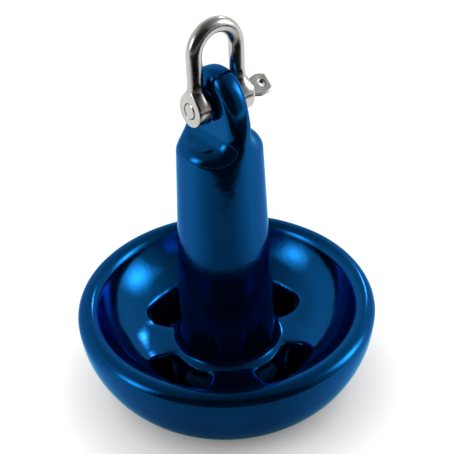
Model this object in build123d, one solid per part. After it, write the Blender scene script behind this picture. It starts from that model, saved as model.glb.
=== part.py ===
from build123d import *
import math
import os

# Bowl of the casting
bowl_radius = 85.0
widest_height = 54.0
base_radius = 43.8
rim_thickness = 12.7
channel_floor = 29.8
channel_flat = 1.5

# Shank of the casting
shank_radius = 27.3
shank_taper = 2.65
foot_rounding = 5.0

# Eye at the top of the casting
dome_start = 150.0
dome_height = 50.5
dome_side_reach = 0.65
dome_top_reach = 0.75
pin_depth = 18.3
eye_thickness = 14.6
scoop_rise = 12.4
scoop_margin = 10.0
scoop_rounding = 8.5
eye_edge_rounding = 4.5
eye_bore_clearance = 1.5
pin_rest_gap = 0.05

# Drain holes through the bottom of the bowl
drain_count = 4
drain_inner_radius = 34.4
drain_outer_radius = 51.5
drain_angle = 48.0
drain_inner_corner = 3.0
drain_corner_share = 0.525
drain_edge_rounding = 2.5
drain_turn = 12.5
edge_search_margin = 1.0

# Shackle bow
wire_diameter = 8.0
jaw_width = 17.6
inside_length = 35.5
ear_diameter = 17.6
ear_thickness = 8.5
neck_length = 15.0
ear_edge_rounding = 1.2
ear_root_inset = 0.1
waist_spread = 1.15

# Screw pin
pin_diameter = 8.0
pin_hole_clearance = 0.1
collar_diameter = 12.5
collar_thickness = 2.0
collar_gap = 0.05
tab_length = 13.2
tab_width = 12.5
tab_root_width = 8.0
tab_end_width = 9.4
tab_corner = 1.5
tab_thickness = 3.6
tab_turn = 50.0
wire_hole_diameter = 3.6
wire_hole_offset = 8.4
wire_hole_chamfer = 0.6


eye_top = dome_start + dome_height
pin_height = eye_top - pin_depth
scoop_floor = dome_start + scoop_rise


def shank_radius_at(height):
    """Radius of the tapered shank at a height above the base."""
    return shank_radius - (height - widest_height) * math.tan(math.radians(shank_taper))


def casting_section():
    """Half section of bowl, shank and domed top, in the YZ plane."""
    overhang = bowl_radius - base_radius
    wall_arc_radius = (overhang**2 + widest_height**2) / (2 * overhang)
    wall_center = bowl_radius - wall_arc_radius
    wall_angle = math.degrees(math.atan2(widest_height, base_radius - wall_center))
    rim_radius = rim_thickness / 2
    rim_center = bowl_radius - rim_radius
    foot_radius = shank_radius_at(channel_floor)
    channel_start = foot_radius + foot_rounding + channel_flat
    rise = widest_height - channel_floor
    reach = rim_center - channel_start
    channel_radius = (reach**2 + rise**2 - rim_radius**2) / (2 * (rise + rim_radius))
    lip_angle = math.degrees(math.atan2(channel_radius - rise, reach))
    dome_radius = shank_radius_at(dome_start)
    side_height = dome_start + dome_side_reach * dome_height
    side_radius = shank_radius_at(side_height)
    with BuildSketch(Plane.YZ) as section:
        with BuildLine():
            Line((0, 0), (base_radius, 0))
            CenterArc((wall_center, widest_height), wall_arc_radius, -wall_angle, wall_angle)
            CenterArc((rim_center, widest_height), rim_radius, 0, 180 - lip_angle)
            CenterArc((channel_start, channel_floor + channel_radius), channel_radius, -90, 90 - lip_angle)
            Line((channel_start, channel_floor), (foot_radius, channel_floor))
            Line((foot_radius, channel_floor), (dome_radius, dome_start))
            Bezier((dome_radius, dome_start), (side_radius, side_height),
                   (dome_top_reach * dome_radius, eye_top), (0, eye_top))
            Line((0, eye_top), (0, 0))
        make_face()
        foot = section.vertices().sort_by_distance((foot_radius, channel_floor))[0]
        fillet(foot, foot_rounding)
    return section.sketch


def scoop(side):
    """Space beside the eye that a shackle ear sits in."""
    face = eye_thickness / 2
    top = eye_top + scoop_margin
    with BuildPart() as cutter:
        with BuildSketch(Plane.XZ) as outline:
            with Locations((side * (face + bowl_radius) / 2 + side * face / 2, (scoop_floor + top) / 2)):
                Rectangle(bowl_radius, top - scoop_floor)
            inner = outline.vertices().sort_by_distance((side * face, scoop_floor))[0]
            fillet(inner, scoop_rounding)
        extrude(amount=bowl_radius, both=True)
    return cutter.part


def drain_outline():
    """Rounded sector seen from above, with its middle on the X axis."""
    half = drain_angle / 2
    outer_corner = drain_corner_share * (drain_outer_radius - drain_inner_radius)
    with BuildSketch() as sector:
        with BuildLine():
            outer = CenterArc((0, 0), drain_outer_radius, -half, drain_angle)
            inner = CenterArc((0, 0), drain_inner_radius, -half, drain_angle)
            Line(outer @ 0, inner @ 0)
            Line(outer @ 1, inner @ 1)
        make_face()
        by_radius = sector.vertices().sort_by(lambda v: math.hypot(v.X, v.Y))
        fillet(by_radius[:2], drain_inner_corner)
        by_radius = sector.vertices().sort_by(lambda v: math.hypot(v.X, v.Y))
        fillet(by_radius[-2:], outer_corner)
    return sector.sketch


def drain_rims(body, lowest, highest):
    """Edges of the drain holes that lie between two heights."""
    pitch = 360 / drain_count
    nearest = drain_inner_radius - edge_search_margin
    farthest = drain_outer_radius + edge_search_margin
    rims = []
    for edge in body.edges():
        middle = edge.position_at(0.5)
        radius = math.hypot(middle.X, middle.Y)
        turn = math.degrees(math.atan2(middle.Y, middle.X)) - drain_turn
        off_middle = abs((turn + pitch / 2) % pitch - pitch / 2)
        beside_hole = nearest < radius < farthest
        inside_turn = off_middle < drain_angle / 2 + edge_search_margin
        if lowest < middle.Z < highest and beside_hole and inside_turn:
            rims.append(edge)
    return rims


def casting():
    """Bowl, shank and eye cast in one piece and dipped."""
    body = revolve(casting_section(), Axis.Z)
    body = body - scoop(1) - scoop(-1)
    rims = body.edges().filter_by(lambda e: e.center().Z > scoop_floor - edge_search_margin)
    seams = rims.filter_by(lambda e: abs(e.center().X) < eye_thickness / 4)
    faces = rims.filter_by(GeomType.LINE)
    body = body.fillet(eye_edge_rounding, rims - seams - faces)
    bore = Cylinder(pin_diameter / 2 + eye_bore_clearance, bowl_radius, rotation=(0, 90, 0))
    body = body - bore.moved(Location((0, 0, pin_height + eye_bore_clearance - pin_rest_gap)))
    for index in range(drain_count):
        angle = drain_turn + 360 / drain_count * index
        hole = extrude(drain_outline(), amount=widest_height)
        body = body - hole.rotate(Axis.Z, angle)
    upper = drain_rims(body, channel_floor - edge_search_margin, widest_height)
    body = body.fillet(drain_edge_rounding, upper)
    return body


def shackle_ear(side):
    """Flat round eye at one end of the wire, with the neck that widens into it."""
    middle = side * (jaw_width + ear_thickness) / 2
    wire = side * (jaw_width + wire_diameter) / 2
    ear_radius = ear_diameter / 2
    root_height = ear_radius / 2
    root_half_width = math.sqrt(ear_radius**2 - root_height**2) - ear_edge_rounding
    root_half_thickness = ear_thickness / 2 - ear_root_inset
    waist_height = ear_radius + ear_edge_rounding
    waist_half_width = wire_diameter / 2 * waist_spread
    with BuildPart() as ear:
        with Locations(Location((middle, 0, 0), (0, 90, 0))):
            Cylinder(ear_radius, ear_thickness)
        fillet(ear.edges().filter_by(GeomType.CIRCLE), ear_edge_rounding)
        with BuildSketch(Plane((middle, 0, root_height))):
            Ellipse(root_half_thickness, root_half_width)
        with BuildSketch(Plane(((middle + wire) / 2, 0, waist_height))):
            Ellipse(root_half_thickness, waist_half_width)
        with BuildSketch(Plane((wire, 0, neck_length))):
            Circle(wire_diameter / 2)
        loft()
        with Locations(Location((middle, 0, 0), (0, 90, 0))):
            Cylinder(pin_diameter / 2 + pin_hole_clearance, 2 * ear_thickness, mode=Mode.SUBTRACT)
    return ear.part


def shackle_bow():
    """D-shaped wire with an ear forged at each end."""
    leg = (jaw_width + wire_diameter) / 2
    straight = inside_length + wire_diameter / 2 - leg
    with BuildPart() as bow:
        with BuildLine(Plane.XZ) as path:
            Line((-leg, neck_length), (-leg, straight))
            CenterArc((0, straight), leg, 180, -180)
            Line((leg, straight), (leg, neck_length))
        with BuildSketch(Plane((-leg, 0, neck_length))):
            Circle(wire_diameter / 2)
        sweep(path=path.wire())
    whole = bow.part + shackle_ear(1) + shackle_ear(-1)
    return whole.moved(Location((0, 0, pin_height)))


def head_tab():
    """Flat head of the pin, lying in the XY plane and pointing along X."""
    half = tab_width / 2
    root_half = tab_root_width / 2
    end_half = tab_end_width / 2
    with BuildPart() as tab:
        with BuildSketch() as outline:
            Polygon((0, -root_half), (wire_hole_offset, -half), (tab_length, -end_half),
                    (tab_length, end_half), (wire_hole_offset, half), (0, root_half), align=None)
            fillet(outline.vertices().filter_by(lambda v: v.X > tab_corner), tab_corner)
        extrude(amount=tab_thickness / 2, both=True)
        with Locations((wire_hole_offset, 0, 0)):
            Cylinder(wire_hole_diameter / 2, 2 * tab_thickness, mode=Mode.SUBTRACT)
        flats = tab.faces().filter_by(Axis.Z)
        rims = flats.edges().filter_by(lambda e: e.center().X > wire_hole_chamfer)
        chamfer(rims, wire_hole_chamfer)
    return tab.part


def shackle_pin():
    """Screw pin with collar and flat head, its threaded end towards -X."""
    outer_face = jaw_width / 2 + ear_thickness
    collar_face = outer_face + collar_gap
    along = (Align.CENTER, Align.CENTER, Align.MIN)
    shaft = Location((-outer_face, 0, 0), (0, 90, 0)) * Cylinder(
        pin_diameter / 2, outer_face + collar_face, align=along)
    collar = Location((collar_face, 0, 0), (0, 90, 0)) * Cylinder(
        collar_diameter / 2, collar_thickness, align=along)
    tab = Location((collar_face + collar_thickness, 0, 0), (90 - tab_turn, 0, 0)) * head_tab()
    return (shaft + collar + tab).moved(Location((0, 0, pin_height)))


if __name__ == "__main__":
    os.makedirs("parts", exist_ok=True)
    export_step(casting(), "parts/anchor_casting.step")
    export_step(shackle_bow(), "parts/shackle_bow.step")
    export_step(shackle_pin(), "parts/shackle_pin.step")
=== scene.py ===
"""Mushroom anchor: a vinyl dipped casting with a polished screw pin shackle."""

import math

import bpy
import numpy as np
from mathutils import Matrix, Vector


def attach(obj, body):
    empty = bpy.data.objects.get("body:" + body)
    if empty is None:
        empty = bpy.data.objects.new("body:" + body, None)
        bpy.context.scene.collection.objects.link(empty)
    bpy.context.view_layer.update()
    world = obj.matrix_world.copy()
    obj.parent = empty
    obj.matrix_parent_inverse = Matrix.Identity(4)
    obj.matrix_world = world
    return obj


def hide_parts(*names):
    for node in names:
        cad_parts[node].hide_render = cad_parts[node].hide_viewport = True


bl_info = {
    "name": "Mushroom Anchor",
    "version": (1, 0, 0),
    "blender": (4, 5, 0),
    "location": "View3D > Sidebar > Anchor",
    "description": "Builds a vinyl dipped mushroom anchor and its shackle",
    "category": "Object",
}

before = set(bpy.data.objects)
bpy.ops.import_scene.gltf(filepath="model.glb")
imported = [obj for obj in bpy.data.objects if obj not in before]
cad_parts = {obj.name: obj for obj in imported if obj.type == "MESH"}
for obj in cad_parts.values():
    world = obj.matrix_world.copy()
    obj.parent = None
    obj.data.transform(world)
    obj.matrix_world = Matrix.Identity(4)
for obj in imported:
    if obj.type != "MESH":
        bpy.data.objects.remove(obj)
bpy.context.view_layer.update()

MM = 0.001
DOME_SIDE_REACH = 0.65
DOME_TOP_REACH = 0.75
DRAIN_OUTER_CORNER = 9.0 * MM
DRAIN_INNER_CORNER = 3.0 * MM
BORE_EDGE = 1.6 * MM
BASE_EDGE = 0.8 * MM
CASTING_STEP, CASTING_STEP_QUICK = 1.2 * MM, 2.2 * MM
BOW_STEP = 0.5 * MM
PIN_STEP = 0.28 * MM

VIEW_TURN, VIEW_TILT, VIEW_ROLL = math.radians(37.0), math.radians(34.7), math.radians(2.3)
VIEW_DISTANCE = 0.510
FOCAL_PIXELS = 884.4
PICTURE_PIXELS = 454.0
RIM_IN_PICTURE = (226.2, 301.6)
RIM_MIDDLE = Vector((0, 0, 0.054))
LIT_POINT = Vector((0, 0, 0.08))
LAMP_DISTANCE = 1.1
FLOOR_HALF = 12.0
TABLE_END = 0.28
TABLE_END_TURN = math.radians(16.0)


class AnchorSizes(bpy.types.PropertyGroup):
    """Sizes of the dipped casting."""

    bowl_radius: bpy.props.FloatProperty(
        name="Bowl radius", description="Outer radius of the bowl",
        default=85.0 * MM, unit="LENGTH")
    rim_height: bpy.props.FloatProperty(
        name="Rim height", description="Height of the middle of the rim",
        default=54.0 * MM, unit="LENGTH")
    wall_arc: bpy.props.FloatProperty(
        name="Wall arc", description="Radius of the arc of the outer wall",
        default=56.0 * MM, unit="LENGTH")
    rim_thickness: bpy.props.FloatProperty(
        name="Rim thickness", description="Thickness of the round rim",
        default=12.7 * MM, unit="LENGTH")
    floor_height: bpy.props.FloatProperty(
        name="Bowl floor", description="Height of the inside of the bowl at the shank",
        default=29.8 * MM, unit="LENGTH")
    floor_flat: bpy.props.FloatProperty(
        name="Floor flat", description="Flat ring of the floor round the foot",
        default=1.5 * MM, unit="LENGTH")
    shank_radius: bpy.props.FloatProperty(
        name="Shank radius", description="Radius of the shank at the height of the rim",
        default=27.3 * MM, unit="LENGTH")
    shank_taper: bpy.props.FloatProperty(
        name="Shank taper", description="Slope of the side of the shank",
        default=math.radians(2.65), unit="ROTATION")
    foot_rounding: bpy.props.FloatProperty(
        name="Foot rounding", description="Radius between shank and floor",
        default=5.0 * MM, unit="LENGTH")
    dome_start: bpy.props.FloatProperty(
        name="Dome start", description="Height at which the shank turns into the dome",
        default=150.0 * MM, unit="LENGTH")
    dome_height: bpy.props.FloatProperty(
        name="Dome height", description="Height of the dome over the shank",
        default=50.5 * MM, unit="LENGTH")
    eye_thickness: bpy.props.FloatProperty(
        name="Eye thickness", description="Thickness of the eye between its scoops",
        default=14.6 * MM, unit="LENGTH")
    scoop_floor: bpy.props.FloatProperty(
        name="Scoop floor", description="Height of the shoulders beside the eye",
        default=162.4 * MM, unit="LENGTH")
    scoop_rounding: bpy.props.FloatProperty(
        name="Scoop rounding", description="Radius where the eye grows out of the shoulder",
        default=8.5 * MM, unit="LENGTH")
    eye_edge: bpy.props.FloatProperty(
        name="Eye edge", description="Rounding of the edges of the eye",
        default=4.5 * MM, unit="LENGTH")
    shoulder_edge: bpy.props.FloatProperty(
        name="Shoulder edge", description="Rounding of the edges of the shoulders",
        default=7.0 * MM, unit="LENGTH")
    bore_radius: bpy.props.FloatProperty(
        name="Bore radius", description="Radius of the hole for the pin",
        default=5.5 * MM, unit="LENGTH")
    bore_height: bpy.props.FloatProperty(
        name="Bore height", description="Height of the hole for the pin",
        default=183.65 * MM, unit="LENGTH")
    drain_inner: bpy.props.FloatProperty(
        name="Drain inner radius", description="Inner radius of the drain holes",
        default=34.4 * MM, unit="LENGTH")
    drain_outer: bpy.props.FloatProperty(
        name="Drain outer radius", description="Outer radius of the drain holes",
        default=51.5 * MM, unit="LENGTH")
    drain_angle: bpy.props.FloatProperty(
        name="Drain angle", description="Angle that one drain hole spans",
        default=math.radians(48.0), unit="ROTATION")
    drain_turn: bpy.props.FloatProperty(
        name="Drain turn", description="Turn of the drain holes from the pin",
        default=math.radians(12.5), unit="ROTATION")
    drain_edge: bpy.props.FloatProperty(
        name="Drain edge", description="Rounding of the edges of the drain holes",
        default=2.5 * MM, unit="LENGTH")
    dip_unevenness: bpy.props.FloatProperty(
        name="Dip unevenness", description="Height of the slow waves in the vinyl",
        default=0.09 * MM, unit="LENGTH")


class ShackleSizes(bpy.types.PropertyGroup):
    """Sizes of the bow and its pin."""

    pin_height: bpy.props.FloatProperty(
        name="Pin height", description="Height of the pin over the base",
        default=182.2 * MM, unit="LENGTH")
    wire_radius: bpy.props.FloatProperty(
        name="Wire radius", description="Radius of the wire of the bow",
        default=4.0 * MM, unit="LENGTH")
    jaw: bpy.props.FloatProperty(
        name="Jaw", description="Clear width between the ears", default=17.6 * MM, unit="LENGTH")
    inside_length: bpy.props.FloatProperty(
        name="Inside length", description="From the middle of the pin to the inside of the crown",
        default=35.5 * MM, unit="LENGTH")
    ear_radius: bpy.props.FloatProperty(
        name="Ear radius", description="Radius of an ear", default=8.8 * MM, unit="LENGTH")
    ear_thickness: bpy.props.FloatProperty(
        name="Ear thickness", description="Thickness of an ear", default=8.5 * MM, unit="LENGTH")
    ear_edge: bpy.props.FloatProperty(
        name="Ear edge", description="Rounding of the edges of an ear",
        default=1.2 * MM, unit="LENGTH")
    neck_length: bpy.props.FloatProperty(
        name="Neck length", description="From the middle of the ear to the plain wire",
        default=15.0 * MM, unit="LENGTH")
    pin_radius: bpy.props.FloatProperty(
        name="Pin radius", description="Radius of the pin", default=4.0 * MM, unit="LENGTH")
    thread_pitch: bpy.props.FloatProperty(
        name="Thread pitch", description="Rise of the thread in one turn",
        default=1.25 * MM, unit="LENGTH")
    thread_depth: bpy.props.FloatProperty(
        name="Thread depth", description="Depth of the thread", default=0.55 * MM, unit="LENGTH")
    collar_radius: bpy.props.FloatProperty(
        name="Collar radius", description="Radius of the collar", default=6.25 * MM, unit="LENGTH")
    collar_thickness: bpy.props.FloatProperty(
        name="Collar thickness", description="Thickness of the collar",
        default=2.0 * MM, unit="LENGTH")
    tab_length: bpy.props.FloatProperty(
        name="Tab length", description="Length of the flat head", default=13.2 * MM, unit="LENGTH")
    tab_width: bpy.props.FloatProperty(
        name="Tab width", description="Width of the flat head", default=12.5 * MM, unit="LENGTH")
    tab_root_width: bpy.props.FloatProperty(
        name="Tab root width", description="Width of the flat head at the collar",
        default=8.0 * MM, unit="LENGTH")
    tab_end_width: bpy.props.FloatProperty(
        name="Tab end width", description="Width of the flat head at its end",
        default=9.4 * MM, unit="LENGTH")
    tab_thickness: bpy.props.FloatProperty(
        name="Tab thickness", description="Thickness of the flat head",
        default=3.6 * MM, unit="LENGTH")
    tab_turn: bpy.props.FloatProperty(
        name="Tab turn", description="Turn of the flat head about the pin",
        default=math.radians(40.0), unit="ROTATION")
    key_hole_radius: bpy.props.FloatProperty(
        name="Key hole radius", description="Radius of the hole in the flat head",
        default=1.8 * MM, unit="LENGTH")
    key_hole_offset: bpy.props.FloatProperty(
        name="Key hole offset", description="From the collar to the hole in the flat head",
        default=8.4 * MM, unit="LENGTH")


class AnchorFinish(bpy.types.PropertyGroup):
    """Colours of vinyl and steel."""

    vinyl_colour: bpy.props.FloatVectorProperty(
        name="Vinyl colour", description="Colour of the dipped vinyl", subtype="COLOR",
        default=(0.0003, 0.078, 0.245), min=0.0, max=1.0)
    vinyl_thick_colour: bpy.props.FloatVectorProperty(
        name="Thick vinyl colour", description="Colour where the vinyl has run together",
        subtype="COLOR", default=(0.0002, 0.060, 0.205), min=0.0, max=1.0)
    steel_colour: bpy.props.FloatVectorProperty(
        name="Steel colour", description="Colour of the polished steel", subtype="COLOR",
        default=(0.60, 0.585, 0.56), min=0.0, max=1.0)
    floor_colour: bpy.props.FloatVectorProperty(
        name="Floor colour", description="Colour of the floor", subtype="COLOR",
        default=(0.9, 0.9, 0.9), min=0.0, max=1.0)


def join(first, second, rounding):
    """Two fields as one body, with a fillet of that radius between them."""
    near = np.maximum(rounding - first, 0.0)
    side = np.maximum(rounding - second, 0.0)
    return np.maximum(rounding, np.minimum(first, second)) - np.hypot(near, side)


def cut(body, tool, rounding):
    """A body without a tool, with its new edges rounded to that radius."""
    near = np.maximum(rounding + body, 0.0)
    side = np.maximum(rounding - tool, 0.0)
    return np.minimum(-rounding, np.maximum(body, -tool)) + np.hypot(near, side)


def round_corner(first, second, rounding):
    """Room inside two flat fields, with that radius where they meet."""
    over = np.maximum(rounding + first, 0.0)
    beside = np.maximum(rounding + second, 0.0)
    return np.minimum(-rounding, np.maximum(first, second)) + np.hypot(over, beside)


def blend_between(value, start, end):
    """0 before start and 1 past end, with soft ends."""
    share = np.clip((value - start) / (end - start), 0.0, 1.0)
    return share * share * (3.0 - 2.0 * share)


def field_slope(field, points, reach):
    """Gradient of a field at some points."""
    slope = np.empty_like(points)
    for axis in range(3):
        step = np.zeros(3)
        step[axis] = reach
        slope[:, axis] = (field(points + step) - field(points - step)) / (2.0 * reach)
    return slope


def settle(field, points, reach, rounds):
    """Points moved along the slope until they lie on the skin of the field."""
    for _ in range(rounds):
        slope = field_slope(field, points, reach)
        steep = np.maximum((slope**2).sum(1), 0.05)
        shift = np.clip(field(points) / steep, -20 * reach, 20 * reach)
        points = points - slope * shift[:, None]
    return points


def skin(field, low, high, step, relaxing=4):
    """Vertices and quads on the zero level of a field."""
    axes = [np.arange(a - 2 * step, b + 3 * step, step) for a, b in zip(low, high)]
    grid = np.stack(np.meshgrid(*axes, indexing="ij"), -1)
    value = field(grid.reshape(-1, 3)).reshape(grid.shape[:3])
    inside = value < 0
    corners = [np.array(c) for c in np.ndindex(2, 2, 2)]

    def corner(array, c):
        return array[tuple(slice(i, n - 1 + i) for i, n in zip(c, array.shape))]

    filled = sum(corner(inside, c).astype(np.int8) for c in corners)
    active = (filled > 0) & (filled < 8)
    index = np.full(active.shape, -1)
    index[active] = np.arange(active.sum())
    total = np.zeros((active.sum(), 3))
    hits = np.zeros(active.sum())
    for c in corners:
        for axis in range(3):
            if c[axis]:
                continue
            d = c.copy()
            d[axis] = 1
            here = corner(value, c)[active]
            there = corner(value, d)[active]
            crosses = (here < 0) != (there < 0)
            share = here[crosses] / (here[crosses] - there[crosses])
            spot = np.tile(c.astype(float), (crosses.sum(), 1))
            spot[:, axis] = share
            total[crosses] += spot
            hits[crosses] += 1
    origin = np.array([a[0] for a in axes])
    points = origin + (np.argwhere(active) + total / hits[:, None]) * step
    quads = []
    for axis in range(3):
        one, two = [a for a in range(3) if a != axis]
        near = [slice(1, -1)] * 3
        near[axis] = slice(0, -1)
        far = list(near)
        far[axis] = slice(1, None)
        start = inside[tuple(near)]
        turn = start != inside[tuple(far)]
        rings = []
        for shift_one, shift_two in ((0, 0), (1, 0), (1, 1), (0, 1)):
            pick = [slice(None)] * 3
            pick[one] = slice(shift_one, index.shape[one] - 1 + shift_one)
            pick[two] = slice(shift_two, index.shape[two] - 1 + shift_two)
            rings.append(index[tuple(pick)][turn])
        ring = np.stack(rings, 1)
        outward = start[turn] if axis != 1 else ~start[turn]
        ring[~outward] = ring[~outward][:, ::-1]
        quads.append(ring)
    quads = np.concatenate(quads)
    points = settle(field, points, step * 0.05, 3)
    for _ in range(relaxing):
        points = relax(field, points, quads, step)
    return points, quads


def relax(field, points, quads, step):
    """Points evened out along the skin."""
    total = np.zeros_like(points)
    count = np.zeros(len(points))
    for k in range(4):
        a, b = quads[:, k], quads[:, (k + 1) % 4]
        for axis in range(3):
            total[:, axis] += np.bincount(a, points[b, axis], len(points))
            total[:, axis] += np.bincount(b, points[a, axis], len(points))
        count += np.bincount(a, minlength=len(points)) + np.bincount(b, minlength=len(points))
    middle = total / np.maximum(count, 1)[:, None]
    return settle(field, points + 0.5 * (middle - points), step * 0.05, 2)


def new_piece(name, points, quads):
    """Smooth shaded object from vertices and quads."""
    mesh = bpy.data.meshes.new(name)
    mesh.from_pydata([], [], [])
    mesh.vertices.add(len(points))
    mesh.vertices.foreach_set("co", points.astype(np.float32).ravel())
    mesh.loops.add(quads.size)
    mesh.loops.foreach_set("vertex_index", quads.astype(np.int32).ravel())
    mesh.polygons.add(len(quads))
    mesh.polygons.foreach_set("loop_start", np.arange(0, quads.size, 4, dtype=np.int32))
    mesh.polygons.foreach_set("use_smooth", np.ones(len(quads), dtype=bool))
    mesh.update(calc_edges=True)
    mesh.validate()
    piece = bpy.data.objects.new(name, mesh)
    bpy.context.collection.objects.link(piece)
    return piece


def along_curve(points, curve):
    """Distance from flat points to a line of short straight steps."""
    best = np.full(len(points), np.inf)
    for start, end in zip(curve[:-1], curve[1:]):
        run = end - start
        share = np.clip(((points - start) @ run) / (run @ run), 0.0, 1.0)
        gap = points - start - share[:, None] * run
        best = np.minimum(best, (gap**2).sum(1))
    return np.sqrt(best)


def shank_field(sizes, r, z):
    """Tapered shank that ends in the dome."""
    slope = math.tan(sizes.shank_taper)
    side = (r - (sizes.shank_radius - (z - sizes.rim_height) * slope)) * math.cos(sizes.shank_taper)
    start = sizes.dome_start
    top = start + sizes.dome_height
    radius = sizes.shank_radius - (start - sizes.rim_height) * slope
    reach = DOME_SIDE_REACH * sizes.dome_height
    knots = np.array([
        (radius, start), (radius - reach * slope, start + reach),
        (DOME_TOP_REACH * radius, top), (0.0, top)])
    t = np.linspace(0.0, 1.0, 241)[:, None]
    curve = (1 - t)**3 * knots[0] + 3 * (1 - t)**2 * t * knots[1]
    curve = curve + 3 * (1 - t) * t**2 * knots[2] + t**3 * knots[3]
    high = z > start
    flat = np.stack([r[high], z[high]], 1)
    inside = (flat[:, 1] < top) & (flat[:, 0] < np.interp(flat[:, 1], curve[:, 1], curve[:, 0]))
    side[high] = np.where(inside, -1.0, 1.0) * along_curve(flat, curve)
    return side


def bowl_field(sizes, r, z):
    """Bowl with its round rim, without shank and holes."""
    rim = sizes.rim_thickness / 2
    rim_middle = sizes.bowl_radius - rim
    foot = sizes.shank_radius + (sizes.rim_height - sizes.floor_height) * math.tan(sizes.shank_taper)
    channel = foot + sizes.foot_rounding + sizes.floor_flat
    rise = sizes.rim_height - sizes.floor_height
    reach = rim_middle - channel
    bend = (reach**2 + rise**2 - rim**2) / (2 * (rise + rim))
    lip = math.atan2(bend - rise, reach)
    past_arc = np.maximum(r - (sizes.bowl_radius - sizes.wall_arc), 0)
    outer = np.hypot(past_arc, z - sizes.rim_height) - sizes.wall_arc
    above_floor = z - sizes.floor_height
    inner = np.where(r > channel, bend - np.hypot(r - channel, above_floor - bend), above_floor)
    wall = np.maximum(np.maximum(outer, inner), -z)
    turn = np.arctan2(z - sizes.rim_height, r - rim_middle)
    tube = np.hypot(r - rim_middle, z - sizes.rim_height) - rim
    return np.where((turn > 0) & (turn < math.pi - lip), tube, wall)


def scoop_field(sizes, x, z):
    """Room beside the eye, inside where it is below zero."""
    across = np.abs(x) - sizes.eye_thickness / 2
    above = z - sizes.scoop_floor
    bend = sizes.scoop_rounding
    corner = bend - np.hypot(np.maximum(bend - across, 0), np.maximum(bend - above, 0))
    depth = np.where((across < bend) & (above < bend), corner, np.minimum(across, above))
    return -depth


def drain_field(sizes, x, y):
    """Four rounded sectors seen from above."""
    pitch = math.pi / 2
    r = np.hypot(x, y)
    turn = np.abs((np.arctan2(y, x) - sizes.drain_turn + pitch / 2) % pitch - pitch / 2)
    side = r * np.sin(turn - sizes.drain_angle / 2)
    outer = r - sizes.drain_outer
    inner = sizes.drain_inner - r
    far = round_corner(outer, side, DRAIN_OUTER_CORNER)
    near = round_corner(inner, side, DRAIN_INNER_CORNER)
    return np.maximum(far, near)


def slow_waves(x, y, z, length, seed):
    """Sum of smooth waves between -1 and 1."""
    random = np.random.default_rng(seed)
    total = 0.0
    for _ in range(7):
        way = random.normal(size=3)
        way *= 2 * math.pi / (length * np.linalg.norm(way) * random.uniform(0.7, 1.5))
        total = total + np.sin(x * way[0] + y * way[1] + z * way[2] + random.uniform(0, 2 * math.pi))
    return total / 7


def casting_field(sizes):
    """Signed distance to the dipped casting."""

    def field(points):
        x, y, z = points.T
        r = np.hypot(x, y)
        body = join(bowl_field(sizes, r, z), shank_field(sizes, r, z), sizes.foot_rounding)
        edge = sizes.shoulder_edge + (sizes.eye_edge - sizes.shoulder_edge) * blend_between(
            z, sizes.scoop_floor + 1 * MM, sizes.scoop_floor + 12 * MM)
        body = cut(body, scoop_field(sizes, x, z), edge)
        bore = np.hypot(y, z - sizes.bore_height) - sizes.bore_radius
        body = cut(body, bore, BORE_EDGE)
        body = cut(body, z, BASE_EDGE)
        drain = drain_field(sizes, x, y)
        body = cut(body, drain, sizes.drain_edge)
        waves = slow_waves(x, y, z, 34 * MM, 3) + 0.35 * slow_waves(x, y, z, 13 * MM, 5)
        by_drain = 1.0 - blend_between(np.abs(drain), 1 * MM, 7 * MM)
        beads = slow_waves(x, y, z, 6.5 * MM, 8) * by_drain * (z < sizes.rim_height)
        return body + sizes.dip_unevenness * (1.3 + waves) + 0.22 * MM * (beads + 1.0) * by_drain

    return field


def bow_field(sizes):
    """Signed distance to the bow."""
    leg = sizes.jaw / 2 + sizes.wire_radius
    middle = sizes.jaw / 2 + sizes.ear_thickness / 2
    straight = sizes.inside_length + sizes.wire_radius - leg

    def field(points):
        x, y, z = points.T
        z = z - sizes.pin_height
        side = np.abs(x)
        arch = np.hypot(np.hypot(x, z - straight) - leg, y) - sizes.wire_radius
        low = np.maximum(sizes.neck_length * 0.6 - z, 0.0)
        stem = np.sqrt((side - leg)**2 + y**2 + low**2) - sizes.wire_radius
        wire = np.where(z > straight, arch, stem)
        spread = 1.0 - blend_between(z, sizes.ear_radius * 0.5, sizes.neck_length)
        half = sizes.wire_radius + 1.5 * MM * spread
        flat = np.abs(side - middle) - sizes.ear_thickness / 2
        neck_middle = middle + (leg - middle) * (1 - spread)
        neck = np.hypot((side - neck_middle) / sizes.wire_radius, y / half) - 1.0
        neck = np.maximum(neck * sizes.wire_radius, np.maximum(z - sizes.neck_length, 4 * MM - z))
        disc = np.hypot(y, z) - sizes.ear_radius
        ear = cut(flat, -disc, sizes.ear_edge)
        body = join(ear, np.minimum(wire, neck), 2.6 * MM)
        hole = np.hypot(y, z) - sizes.pin_radius - 0.1 * MM
        body = np.where(z < sizes.neck_length, np.maximum(body, flat + 0.02 * MM), body)
        body = cut(body, hole, 0.35 * MM)
        return body + 0.03 * MM * (1.0 + slow_waves(x, y, z, 9 * MM, 11))

    return field


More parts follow.
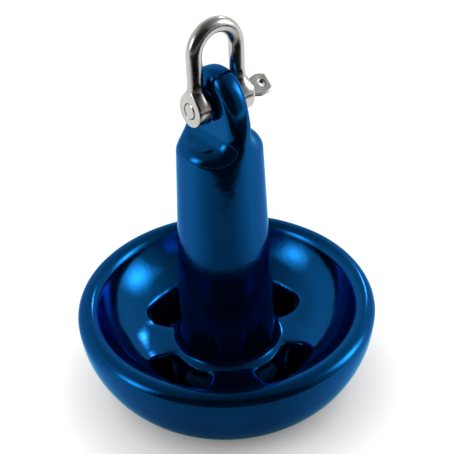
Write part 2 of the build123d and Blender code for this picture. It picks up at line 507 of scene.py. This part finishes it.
def pin_field(sizes):
    """Signed distance to the pin with its collar and flat head."""
    end = sizes.jaw / 2 + sizes.ear_thickness
    collar_start = end + 0.05 * MM
    tab_start = collar_start + sizes.collar_thickness
    cos, sin = math.cos(sizes.tab_turn), math.sin(sizes.tab_turn)

    def field(points):
        x, y, z = points.T
        z = z - sizes.pin_height
        r = np.hypot(y, z)
        threaded = 1.0 - blend_between(x, -end + 9.6 * MM, -end + 10.4 * MM)
        turns = (x / sizes.thread_pitch - np.arctan2(z, y) / (2 * math.pi)) % 1.0
        tooth = np.clip(np.abs(turns - 0.5) * 2.4 - 0.15, 0.0, 1.0)
        groove = sizes.thread_depth * tooth * threaded
        shaft = r - sizes.pin_radius + groove
        ends = np.maximum(-end + 0.02 * MM - x, x - tab_start)
        shaft = cut(shaft, -ends, 0.5 * MM)
        collar = np.abs(x - collar_start - sizes.collar_thickness / 2) - sizes.collar_thickness / 2
        collar = cut(collar, sizes.collar_radius - r, 0.6 * MM)
        flat = z * cos - y * sin
        wide = np.abs(y * cos + z * sin)
        along = x - tab_start
        half, root, tip = sizes.tab_width / 2, sizes.tab_root_width / 2, sizes.tab_end_width / 2
        far = sizes.key_hole_offset
        run = (half - root) / far
        back = (wide - root - along * run) / math.hypot(1, run)
        rise = (half - tip) / (sizes.tab_length - far)
        front = (wide - half + (along - far) * rise) / math.hypot(1, rise)
        outline = cut(back, -front, 1.5 * MM)
        outline = cut(outline, -(along - sizes.tab_length), 1.5 * MM)
        outline = np.maximum(outline, -along - 1.0 * MM)
        plate = cut(np.abs(flat) - sizes.tab_thickness / 2, -outline, 0.9 * MM)
        hole = np.hypot(along - far, y * cos + z * sin) - sizes.key_hole_radius
        plate = cut(plate, hole, 0.6 * MM)
        head = join(collar, plate, 1.2 * MM)
        head = np.maximum(head, collar_start - x)
        body = np.minimum(shaft, head)
        return body + 0.02 * MM * (1.0 + slow_waves(x, y, z, 7 * MM, 21))

    return field


class Value:
    """A shader socket that takes part in plain expressions."""

    def __init__(self, nodes, socket):
        self.nodes = nodes
        self.socket = socket

    def _math(self, operation, first, second):
        return self.nodes.add("ShaderNodeMath", {"operation": operation}, {0: first, 1: second})

    def __add__(self, other):
        return self._math("ADD", self, other)

    __radd__ = __add__

    def __mul__(self, other):
        return self._math("MULTIPLY", self, other)

    __rmul__ = __mul__

    def __sub__(self, other):
        return self._math("SUBTRACT", self, other)

    def __rsub__(self, other):
        return self._math("SUBTRACT", other, self)

    def __truediv__(self, other):
        return self._math("DIVIDE", self, other)

    def __pow__(self, other):
        return self._math("POWER", self, other)

    def clamp(self, low=0.0, high=1.0):
        return self._math("MINIMUM", self._math("MAXIMUM", self, low), high)

    def at_least(self, other):
        return self._math("MAXIMUM", self, other)


class Nodes:
    """The node tree of one material or of the world."""

    def __init__(self, tree):
        self.tree = tree
        tree.nodes.clear()

    def add(self, kind, settings=None, inputs=None, output=0):
        node = self.tree.nodes.new(kind)
        for name, value in (settings or {}).items():
            setattr(node, name, value)
        for key, value in (inputs or {}).items():
            socket = node.inputs[key]
            if isinstance(value, Value):
                self.tree.links.new(value.socket, socket)
            else:
                socket.default_value = value
        return Value(self, node.outputs[output]) if len(node.outputs) else node

    def noise(self, place, scale, detail, roughness=0.5):
        return self.add("ShaderNodeTexNoise", inputs={
            "Vector": place, "Scale": scale, "Detail": detail, "Roughness": roughness})

    def dot(self, way, axis):
        inputs = {0: way, 1: tuple(axis)}
        return self.add("ShaderNodeVectorMath", {"operation": "DOT_PRODUCT"}, inputs, 1)

    def light_path(self, kind):
        return Value(self, self.tree.nodes.new("ShaderNodeLightPath").outputs[kind])

    def mix_shader(self, share, first, second):
        return self.add("ShaderNodeMixShader", inputs={0: share, 1: first, 2: second})

    def finish(self, shader, kind="ShaderNodeOutputMaterial"):
        self.add(kind, inputs={"Surface": shader})

    def mix_colour(self, share, first, second):
        return self.add("ShaderNodeMix", {"data_type": "RGBA"}, {0: share, 6: first, 7: second}, 2)


def new_material(name):
    """Empty node material."""
    material = bpy.data.materials.new(name)
    material.use_nodes = True
    return material, Nodes(material.node_tree)


def opaque(colour):
    return (colour[0], colour[1], colour[2], 1.0)


def vinyl_material(finish):
    """Thick glossy vinyl with slow waves, faint dimples and a few dust nibs."""
    material, nodes = new_material("dipped_vinyl")
    place = nodes.add("ShaderNodeTexCoord", output=3)
    clouds = nodes.noise(place, 14.0, 3.0, 0.5)
    tone = ((clouds - 0.35) * 2.2).clamp()
    colour = nodes.mix_colour(tone, opaque(finish.vinyl_thick_colour), opaque(finish.vinyl_colour))
    smear = nodes.noise(place, 60.0, 4.0, 0.6)
    rough = 0.10 + 0.07 * ((smear - 0.4) * 2.5).clamp()
    dimples = nodes.noise(place, 420.0, 2.0, 0.5)
    swells = nodes.noise(place, 75.0, 2.0, 0.45)
    nib = nodes.add("ShaderNodeTexVoronoi", {"feature": "F1"}, {
        "Vector": place, "Scale": 85.0, "Randomness": 1.0})
    nibs = (1.0 - nib * 9.0).clamp() ** 2.0
    height = dimples * 0.35 + swells * 1.6 + nibs * 0.5
    bump = nodes.add("ShaderNodeBump", inputs={"Height": height, "Strength": 0.16, "Distance": 0.0006})
    shader = nodes.add("ShaderNodeBsdfPrincipled", inputs={
        "Base Color": colour, "Metallic": 0.95, "Roughness": rough, "Normal": bump, "IOR": 1.5,
        "Specular Tint": (0.02, 0.60, 0.93, 1.0),
        "Coat Weight": 0.05, "Coat Roughness": 0.06, "Coat IOR": 1.5})
    nodes.finish(shader)
    return material


def steel_material(finish):
    """Polished stainless steel with fine buffing marks and a little haze."""
    material, nodes = new_material("polished_stainless")
    place = nodes.add("ShaderNodeTexCoord", output=3)
    stretch = nodes.add("ShaderNodeMapping", inputs={"Vector": place, "Scale": (1.0, 1.0, 7.0)})
    buffing = nodes.noise(stretch, 900.0, 3.0, 0.6)
    clouds = nodes.noise(place, 160.0, 4.0, 0.55)
    tone = ((clouds - 0.35) * 2.4).clamp()
    dark = [0.84 * channel for channel in finish.steel_colour]
    colour = nodes.mix_colour(tone, opaque(dark), opaque(finish.steel_colour))
    rough = 0.13 + 0.12 * ((clouds - 0.4) * 2.5).clamp() + 0.05 * buffing
    swells = nodes.noise(place, 240.0, 2.0, 0.5)
    height = buffing * 0.25 + swells * 1.0
    bump = nodes.add("ShaderNodeBump", inputs={"Height": height, "Strength": 0.22, "Distance": 0.0003})
    shader = nodes.add("ShaderNodeBsdfPrincipled", inputs={
        "Base Color": colour, "Metallic": 1.0, "Roughness": rough, "Normal": bump})
    nodes.finish(shader)
    return material


def seen_directly(nodes):
    """1 for rays that come from the camera or by way of gloss or glass."""
    kinds = ("Is Camera Ray", "Is Glossy Ray", "Is Transmission Ray")
    camera, glossy, through = [nodes.light_path(kind) for kind in kinds]
    return (camera + glossy + through).clamp()


def floor_material(finish, toward_camera):
    """Pale floor that keeps the shadow of the anchor, with painted shade under and round its base, and
    a painted dark reflection: darker in gloss in front of it.
    """
    material, nodes = new_material("pale_floor")
    place = nodes.add("ShaderNodeTexCoord", output=3)
    grain = nodes.noise(place, 30.0, 3.0)
    shade = [0.985 * channel for channel in finish.floor_colour]
    colour = nodes.mix_colour(grain, opaque(shade), opaque(finish.floor_colour))
    spot = nodes.add("ShaderNodeVectorMath", {"operation": "LENGTH"}, {0: place}, 1)
    # painted shadow: within 5 cm of the anchor's axis the floor colour is near black, rising to full
    # colour at 7.5 cm, so the floor under the bowl and in its drain holes is dark whatever the lamps
    # do
    beside = ((spot - 0.05) / 0.025).clamp()
    colour = nodes.mix_colour(beside, (0.01, 0.01, 0.012, 1.0), colour)
    lit = nodes.add("ShaderNodeBsdfDiffuse", inputs={"Color": colour, "Roughness": 0.6})
    glow = nodes.add("ShaderNodeEmission", inputs={"Color": (1.0, 1.0, 1.0, 1.0), "Strength": 1.15})
    # painted shade: the white glow that camera and gloss rays see fades out between 10.5 cm and 4.5 cm
    # from the anchor's axis, so the floor round the base is darker whatever the lamps do; there the
    # lit floor shows, with its real shadow
    glow_past_painted_shade = ((spot - 0.045) / 0.06).clamp()
    share = seen_directly(nodes) * 0.86 * glow_past_painted_shade
    shader = nodes.mix_shader(share, lit, glow)
    # painted dark reflection: gloss rays see the floor in front of the anchor, toward the camera, up
    # to 70 % black
    ahead = nodes.dot(place, toward_camera)
    painted_dark_reflection_share = ((ahead / spot.at_least(0.001) - 0.25) / 0.7).clamp()
    glossy = nodes.light_path("Is Glossy Ray")
    shade = nodes.add("ShaderNodeEmission", inputs={"Color": (0.0, 0.0, 0.0, 1.0)})
    shader = nodes.mix_shader(glossy * painted_dark_reflection_share * 0.7, shader, shade)
    nodes.finish(shader)
    return material


def painted_dark_reflection_card_material():
    """Black card seen only in gloss: a painted dark reflection that darkens the reflections of the
    side of the camera.
    """
    material, nodes = new_material("painted_dark_reflection_card")
    shader = nodes.add("ShaderNodeBsdfDiffuse", inputs={"Color": (0.004, 0.004, 0.005, 1.0)})
    nodes.finish(shader)
    return material


def dress(piece, material, node, body):
    """Material, body and slot of one piece that stands for a node."""
    piece.data.materials.append(material)
    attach(piece, body)
    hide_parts(node)


class ANCHOR_OT_casting(bpy.types.Operator):
    """Builds bowl, shank and eye in their vinyl skin"""

    bl_idname = "anchor.casting"
    bl_label = "Dipped casting"

    def execute(self, context):
        sizes = context.scene.anchor_sizes
        edge = sizes.bowl_radius
        low = (-edge, -edge, 0.0)
        high = (edge, edge, sizes.dome_start + sizes.dome_height)
        step = CASTING_STEP
        points, quads = skin(casting_field(sizes), low, high, step)
        piece = new_piece("vinyl_dipped_casting", points, quads)
        vinyl = vinyl_material(context.scene.anchor_finish)
        dress(piece, vinyl, "anchor_casting", "anchor")
        return {"FINISHED"}


class ANCHOR_OT_shackle(bpy.types.Operator):
    """Builds the bow and the screw pin of the shackle"""

    bl_idname = "anchor.shackle"
    bl_label = "Shackle"

    def execute(self, context):
        sizes = context.scene.shackle_sizes
        finish = context.scene.anchor_finish
        end = sizes.jaw / 2 + sizes.ear_thickness
        low = (-end, -sizes.ear_radius, sizes.pin_height - sizes.ear_radius)
        high = (end, sizes.ear_radius, sizes.pin_height + sizes.inside_length + 2 * sizes.wire_radius)
        points, quads = skin(bow_field(sizes), low, high, BOW_STEP)
        steel = steel_material(finish)
        dress(new_piece("polished_bow", points, quads), steel, "shackle_bow", "bow")
        low = (-end, -sizes.collar_radius, sizes.pin_height - sizes.collar_radius)
        tip = end + sizes.collar_thickness + sizes.tab_length
        high = (tip, sizes.collar_radius, sizes.pin_height + sizes.collar_radius)
        points, quads = skin(pin_field(sizes), low, high, PIN_STEP)
        dress(new_piece("polished_screw_pin", points, quads), steel, "shackle_pin", "pin")
        return {"FINISHED"}


def aim(back, sideways, turn, lift):
    """Direction from the anchor, turned from straight behind it and lifted, in degrees."""
    turn, lift = math.radians(turn), math.radians(lift)
    level = back * math.cos(turn) + sideways * math.sin(turn)
    return level * math.cos(lift) + Vector((0, 0, math.sin(lift)))


def add_panel_light(name, place, width, height, power):
    """Soft rectangular lamp that faces the anchor."""
    lamp = bpy.data.lights.new(name, "AREA")
    lamp.shape = "RECTANGLE"
    lamp.size = width
    lamp.size_y = height
    lamp.energy = power
    light = bpy.data.objects.new(name, lamp)
    light.location = place
    light.rotation_euler = (LIT_POINT - place).to_track_quat("-Z", "Y").to_euler()
    light.visible_glossy = False
    bpy.context.collection.objects.link(light)
    return light


def soft_panel(nodes, way, place, width, height):
    """Share of a soft edged rectangle of the sky, seen around one direction."""
    middle = place.normalized()
    across = middle.cross(Vector((0, 0, 1))).normalized()
    upward = across.cross(middle)
    ahead, side, rise = [nodes.dot(way, axis) for axis in (middle, across, upward)]
    wide = 1.0 - (side / width) ** 2.0
    tall = 1.0 - (rise / height) ** 2.0
    inside = wide.clamp() * tall.clamp() * (ahead * 50.0).clamp()
    return (inside * 1.6).clamp() * 0.6 + inside ** 4.0 * 2.4


def view_axes():
    """Right, up and forward of the camera."""
    level = math.cos(VIEW_TILT)
    right = Vector((math.cos(VIEW_TURN), -math.sin(VIEW_TURN), 0.0))
    forward = Vector((math.sin(VIEW_TURN) * level, math.cos(VIEW_TURN) * level, -math.sin(VIEW_TILT)))
    up = right.cross(forward)
    rolled_right = right * math.cos(VIEW_ROLL) - up * math.sin(VIEW_ROLL)
    rolled_up = right * math.sin(VIEW_ROLL) + up * math.cos(VIEW_ROLL)
    return rolled_right, rolled_up, forward


def add_camera():
    """Camera at the photograph's angle."""
    right, up, forward = view_axes()
    per_pixel = VIEW_DISTANCE / FOCAL_PIXELS
    across = (RIM_IN_PICTURE[0] - PICTURE_PIXELS / 2) * per_pixel
    above = (PICTURE_PIXELS / 2 - RIM_IN_PICTURE[1]) * per_pixel
    spot = RIM_MIDDLE - right * across - up * above - forward * VIEW_DISTANCE
    data = bpy.data.cameras.new("view")
    data.sensor_width = 36.0
    data.sensor_fit = "HORIZONTAL"
    data.lens = FOCAL_PIXELS * data.sensor_width / PICTURE_PIXELS
    data.clip_start = 0.01
    camera = bpy.data.objects.new("view", data)
    turn = Matrix((right, up, -forward)).transposed().to_4x4()
    camera.matrix_world = Matrix.Translation(spot) @ turn
    bpy.context.collection.objects.link(camera)
    bpy.context.scene.camera = camera


class ANCHOR_OT_stage(bpy.types.Operator):
    """Adds floor, lights and camera"""

    bl_idname = "anchor.stage"
    bl_label = "Stage"

    def execute(self, context):
        right, up, forward = view_axes()
        back = Vector((forward.x, forward.y, 0)).normalized()
        sideways = Vector((right.x, right.y, 0)).normalized()
        finish = context.scene.anchor_finish
        far = FLOOR_HALF
        square = np.array([(-far, -far, 0), (far, -far, 0), (far, far, 0), (-far, far, 0)])
        floor = new_piece("floor", square, np.array([[0, 1, 2, 3]]))
        floor.location.z = -0.2 * MM
        floor.data.materials.append(floor_material(finish, -back))
        outward = sideways * math.sin(TABLE_END_TURN) - back * math.cos(TABLE_END_TURN)
        along = sideways * math.cos(TABLE_END_TURN) + back * math.sin(TABLE_END_TURN)
        corners = ((TABLE_END, -1.5), (TABLE_END, 1.5), (2.0, 1.5), (2.0, -1.5))
        card = new_piece("painted_dark_reflection_card", np.array([
            ahead * outward + across * along + Vector((0, 0, MM)) for ahead, across in corners]),
            np.array([[0, 1, 2, 3]]))
        card.data.materials.append(painted_dark_reflection_card_material())
        # painted dark reflection: the card is seen only by gloss rays, casts no shadow and gives no
        # light
        card.visible_camera = card.visible_diffuse = card.visible_shadow = False
        panels = (
            ("left_panel", -111.0, 24.0, 0.5, 0.62, 3.6, 0.30, 0.38, 1.8),
            ("right_panel", 84.0, 22.0, 0.46, 0.62, 3.6, 0.30, 0.40, 2.6),
            ("back_panel", 24.0, 31.0, 0.14, 0.2, 0.35, 0.10, 0.12, 5.0))
        for name, turn, lift, width, height, power, *_ in panels:
            place = aim(back, sideways, turn, lift) * LAMP_DISTANCE + LIT_POINT
            add_panel_light(name, place, width, height, power)
        world = bpy.data.worlds.new("studio")
        context.scene.world = world
        world.use_nodes = True
        nodes = Nodes(world.node_tree)
        way = nodes.add("ShaderNodeTexCoord")
        facing = nodes.dot(way, back)
        height = nodes.dot(way, (0.0, 0.0, 1.0))
        behind = ((facing + 0.65) / 0.8).clamp()
        overhead = ((height - 0.5) / 0.5).clamp()
        strength = (0.02 + 0.8 * behind) * (1.0 - 0.78 * overhead) * (0.7 + 0.3 * seen_directly(nodes))
        for _, turn, lift, _, _, _, wide, tall, glow in panels:
            place = aim(back, sideways, turn, lift)
            strength = strength + glow * soft_panel(nodes, way, place, wide, tall)
        camera = nodes.light_path("Is Camera Ray")
        strength = strength * (1.0 - camera) + camera
        sky = nodes.add("ShaderNodeBackground", inputs={"Color": (1, 1, 1, 1), "Strength": strength})
        nodes.finish(sky, "ShaderNodeOutputWorld")
        add_camera()
        context.scene.view_settings.view_transform = "Standard"
        return {"FINISHED"}


class ANCHOR_PT_panel(bpy.types.Panel):
    """Lists the pieces of the anchor"""

    bl_label = "Mushroom Anchor"
    bl_idname = "ANCHOR_PT_panel"
    bl_space_type = "VIEW_3D"
    bl_region_type = "UI"
    bl_category = "Anchor"

    def draw(self, context):
        for operator in OPERATORS:
            self.layout.operator(operator.bl_idname)
        for group in ("anchor_sizes", "shackle_sizes", "anchor_finish"):
            values = getattr(context.scene, group)
            box = self.layout.box()
            for name in values.bl_rna.properties.keys():
                if name not in ("rna_type", "name"):
                    box.prop(values, name)


OPERATORS = (ANCHOR_OT_casting, ANCHOR_OT_shackle, ANCHOR_OT_stage)
CLASSES = (AnchorSizes, ShackleSizes, AnchorFinish, *OPERATORS, ANCHOR_PT_panel)


def register():
    for item in CLASSES:
        bpy.utils.register_class(item)
    bpy.types.Scene.anchor_sizes = bpy.props.PointerProperty(type=AnchorSizes)
    bpy.types.Scene.shackle_sizes = bpy.props.PointerProperty(type=ShackleSizes)
    bpy.types.Scene.anchor_finish = bpy.props.PointerProperty(type=AnchorFinish)


def unregister():
    del bpy.types.Scene.anchor_sizes
    del bpy.types.Scene.shackle_sizes
    del bpy.types.Scene.anchor_finish
    for item in reversed(CLASSES):
        bpy.utils.unregister_class(item)


def main():
    register()
    bpy.ops.anchor.casting()
    bpy.ops.anchor.shackle()
    bpy.ops.anchor.stage()


if __name__ == "__main__":
    main()
